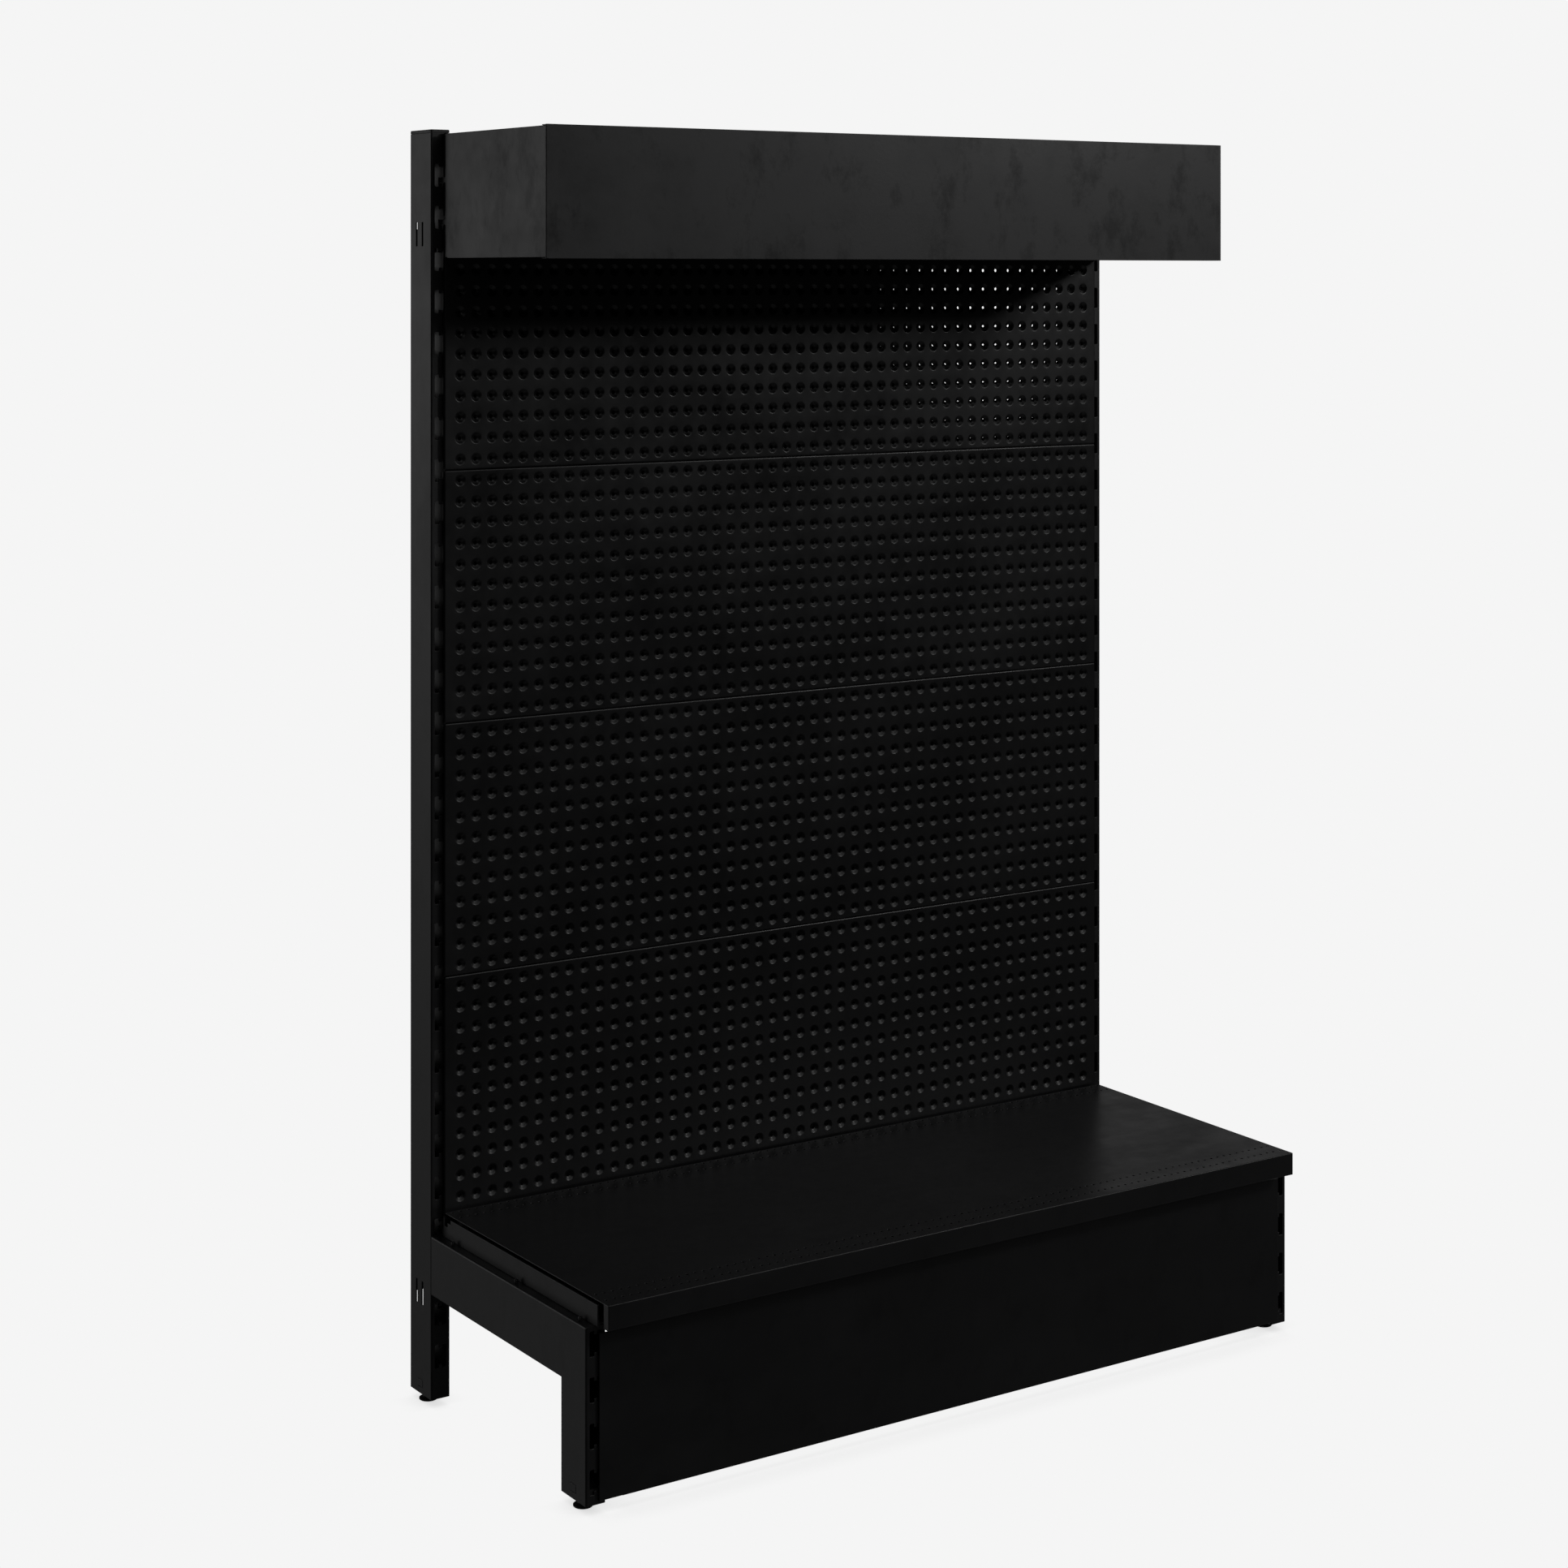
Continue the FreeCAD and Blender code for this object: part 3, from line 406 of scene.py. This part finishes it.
def add_margins(patch, xs, zs, field_edge, side_depth):
    """Flat strips beside the grid and the folds all round."""
    grid_edge = COLUMNS / 2 * PITCH_ACROSS
    for side in (-1, 1):
        near, far = side * grid_edge, side * field_edge
        patch.add_grid(np.array([[(near, z, 0.0) for z in zs], [(far, z, 0.0) for z in zs]]))
        add_fold(patch, [(far, z) for z in zs], (side, 0.0), side_depth)
    for level, way in ((zs[0], -1.0), (zs[-1], 1.0)):
        add_fold(patch, [(x, level) for x in xs], (0.0, way), FLANGE_DEPTH)
    for x_a, x_b in ((-field_edge, xs[0]), (xs[-1], field_edge)):
        for level, way in ((zs[0], -1.0), (zs[-1], 1.0)):
            add_fold(patch, [(x_a, level), (x_b, level)], (0.0, way), RETURN_DEPTH - 1.0)


def skin_mesh(name, half_width, rows, rings, facing):
    """Mesh of a dished tray whose lower seam is at z = 0; depth runs away from its face."""
    patch = Patch()
    add_holes(patch, rows, rings)
    side_depth = RETURN_DEPTH if facing < 0 else BEND + 0.01
    add_margins(patch, points_across(), points_up(rows), half_width - BEND, side_depth)
    points, faces = patch.merged()
    x, z, depth = points[:, 0], points[:, 1], points[:, 2]
    place = np.stack([x, -facing * depth, z], axis=-1) * MM
    mesh = bpy.data.meshes.new(name)
    mesh.from_pydata(place.tolist(), [], faces.tolist())
    mesh.update()
    return mesh


def orient(mesh, outward_y):
    """Faces of the flat field look towards outward_y."""
    work = bmesh.new()
    work.from_mesh(mesh)
    bmesh.ops.recalc_face_normals(work, faces=work.faces)
    largest = max(work.faces, key=lambda face: face.calc_area())
    if largest.normal.y * outward_y < 0:
        bmesh.ops.reverse_faces(work, faces=work.faces)
    work.to_mesh(mesh)
    work.free()


def build_skins():
    """Front and rear trays in place of the plain CAD sheets."""
    for name, facing, rings in (("front", -1, DISH_FRONT), ("rear", 1, DISH_REAR)):
        meshes = {}
        for suffix in ("panel_1", "panel_2", "panel_3", "panel_4", "top_infill"):
            node = "%s_%s" % (name, suffix)
            low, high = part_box(node)
            rows = int(round((high.z - low.z) / (PITCH_UP * MM)))
            if rows not in meshes:
                half = (high.x - low.x) / 2 / MM
                mesh = skin_mesh("%s_skin_%d" % (name, rows), half, rows, rings, facing)
                orient(mesh, facing)
                mesh.materials.append(MATERIALS["painted_panel"])
                mesh.polygons.foreach_set("use_smooth", [True] * len(mesh.polygons))
                meshes[rows] = mesh
            piece = bpy.data.objects.new(node + "_dished", meshes[rows])
            bpy.context.scene.collection.objects.link(piece)
            piece.location = (0.0, low.y if facing < 0 else high.y, low.z - SEAM * MM)
            wall = piece.modifiers.new("sheet", "SOLIDIFY")
            wall.thickness = SKIN * MM
            wall.offset = -1.0
            weighted = piece.modifiers.new("flat_field", "WEIGHTED_NORMAL")
            weighted.keep_sharp = False
            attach(piece, "frame")
            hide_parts(node)


# ---- stage, light and camera ----------------------------------------------------------------

FLOOR_REACH = 60.0
FLOOR_DROP = 0.4 * MM           # just clear of the pads
SHADE_REACH = 0.09              # how far the contact shade spreads
SHADE_TONE = 0.62               # its darkest value


def build_stage():
    """Pale floor that only the camera sees, with a soft contact shade under the unit."""
    mesh = bpy.data.meshes.new("floor")
    turns = ((-1, -1), (1, -1), (1, 1), (-1, 1))
    corners = [(x * FLOOR_REACH, y * FLOOR_REACH, 0) for x, y in turns]
    mesh.from_pydata(corners, [], [(0, 1, 2, 3)])
    floor = bpy.data.objects.new("floor", mesh)
    bpy.context.scene.collection.objects.link(floor)
    floor.location.z = -FLOOR_DROP
    floor.visible_diffuse = False
    floor.visible_glossy = False
    floor.visible_transmission = False
    floor.visible_shadow = False
    material = bpy.data.materials.new("pale_floor")
    material.use_nodes = True
    material.node_tree.nodes.clear()
    nodes = Nodes(material.node_tree)
    shade = nodes.add("AmbientOcclusion", {"samples": 8}, Distance=SHADE_REACH)
    glow = nodes.add("Emission")
    tone = nodes.ramp(shade.outputs["AO"], 0.0, 0.75, SHADE_TONE, PALE)
    nodes.tree.links.new(nodes.grey(tone), glow.inputs["Color"])
    out = nodes.add("OutputMaterial")
    nodes.tree.links.new(glow.outputs[0], out.inputs["Surface"])
    mesh.materials.append(material)


# Soft panels of light around the unit, seen by the paint and not by the camera.  Headings in
# degrees from straight behind or straight ahead of the unit, plus towards +X behind it and
# towards -X ahead of it; heights in degrees above the horizon; then brightness.
GLOWS = [
    ("rear_left_screen", "behind", (-62, -28), (-6, 22), 0.85),
    ("rear_left_floor", "behind", (-65, -25), (-36, -6), 0.20),
    ("rear_middle_screen", "behind", (-28, 2), (-5, 20), 0.20),
    ("rear_right_screen", "behind", (30, 60), (-5, 20), 0.22),
    ("right_diffuser", "ahead", (-92, 32), (19, 46), 0.60),
    ("front_ceiling", "ahead", (-62, 2), (46, 70), 0.33),
    ("right_floor", "ahead", (-62, -28), (-36, -6), 0.06),
    ("low_floor", "ahead", (-200, 200), (-100, -36), 0.08),
]
SOFT_EDGE = 6.0                 # degrees over which a panel of light fades out
ROOM_GLOW = 0.004               # brightness between the panels


def window(nodes, value, low, high):
    """1 where value lies between low and high degrees, with soft edges."""
    low, high, soft = math.radians(low), math.radians(high), math.radians(SOFT_EDGE) / 2
    rise = nodes.ramp(value, low - soft, low + soft)
    fall = nodes.ramp(value, high - soft, high + soft, 1.0, 0.0)
    return nodes.math("MULTIPLY", rise, fall)


def build_world():
    """Pale to the camera; to the paint, a dark room with the soft panels of light."""
    world = bpy.data.worlds.new("studio")
    bpy.context.scene.world = world
    world.use_nodes = True
    world.node_tree.nodes.clear()
    nodes = Nodes(world.node_tree)
    split = nodes.add("SeparateXYZ")
    nodes.tree.links.new(nodes.add("TexCoord").outputs["Generated"], split.inputs[0])
    x, y, z = split.outputs
    climb = nodes.math("ARCSINE", z, 0.0)
    back_x, back_y = nodes.math("MULTIPLY", x, -1.0), nodes.math("MULTIPLY", y, -1.0)
    turns = {"behind": nodes.math("ARCTAN2", x, y), "ahead": nodes.math("ARCTAN2", back_x, back_y)}
    total = nodes.math("ADD", ROOM_GLOW, 0.0)
    for name, side, heading, height, bright in GLOWS:
        panel = nodes.math("MULTIPLY", window(nodes, turns[side], *heading),
                           window(nodes, climb, *height))
        panel = nodes.math("MULTIPLY", panel, bright)
        panel.node.label = name
        total = nodes.math("ADD", total, panel)
    seen = nodes.add("Background", Color=(PALE, PALE, PALE, 1.0), Strength=1.0)
    felt = nodes.add("Background", Color=(1.0, 1.0, 1.0, 1.0))
    nodes.tree.links.new(total, felt.inputs["Strength"])
    switch = nodes.add("MixShader")
    nodes.tree.links.new(nodes.add("LightPath").outputs["Is Camera Ray"], switch.inputs[0])
    nodes.tree.links.new(felt.outputs[0], switch.inputs[1])
    nodes.tree.links.new(seen.outputs[0], switch.inputs[2])
    out = nodes.add("OutputWorld")
    nodes.tree.links.new(switch.outputs[0], out.inputs["Surface"])


def softbox(name, place, target, width, height, power):
    """Rectangular light at one place, turned towards another, that the camera can't see."""
    light = bpy.data.lights.new(name, "AREA")
    light.shape = "RECTANGLE"
    light.size = width
    light.size_y = height
    light.energy = power
    lamp = bpy.data.objects.new(name, light)
    lamp.location = place
    aim = Vector(target) - Vector(place)
    lamp.rotation_euler = aim.to_track_quat("-Z", "Y").to_euler()
    bpy.context.scene.collection.objects.link(lamp)
    lamp.visible_camera = False


def build_camera():
    """Level camera at the viewer's place.  Its frame is shifted down there to hold the whole unit,
    and not shifted at any other place, so that a view from another side stays centred."""
    data = bpy.data.cameras.new("camera")
    data.sensor_width = 36.0
    data.lens = LENS
    camera = bpy.data.objects.new("camera", data)
    camera.location = CAMERA_PLACE
    camera.rotation_euler = (math.radians(90.0), 0.0, math.radians(CAMERA_HEADING))
    bpy.context.scene.collection.objects.link(camera)
    bpy.context.scene.camera = camera
    shift = data.driver_add("shift_y").driver
    shift.type = "SCRIPTED"
    for index, name in enumerate("xy"):
        variable = shift.variables.new()
        variable.name = name
        variable.targets[0].id = camera
        variable.targets[0].data_path = "location[%d]" % index
    away = "abs(x - %.4f) + abs(y - %.4f)" % CAMERA_PLACE[:2]
    shift.expression = "%.3f * max(0, 1 - 100 * (%s))" % (FRAME_SHIFT, away)


finish_cad_nodes()
build_skins()
build_stage()
build_world()
softbox("key", (2.2, -2.4, 2.3), (0.0, 0.1, 0.9), 0.5, 0.5, 16.0)
build_camera()
view = bpy.context.scene.view_settings
view.view_transform = "Standard"
view.look = "None"
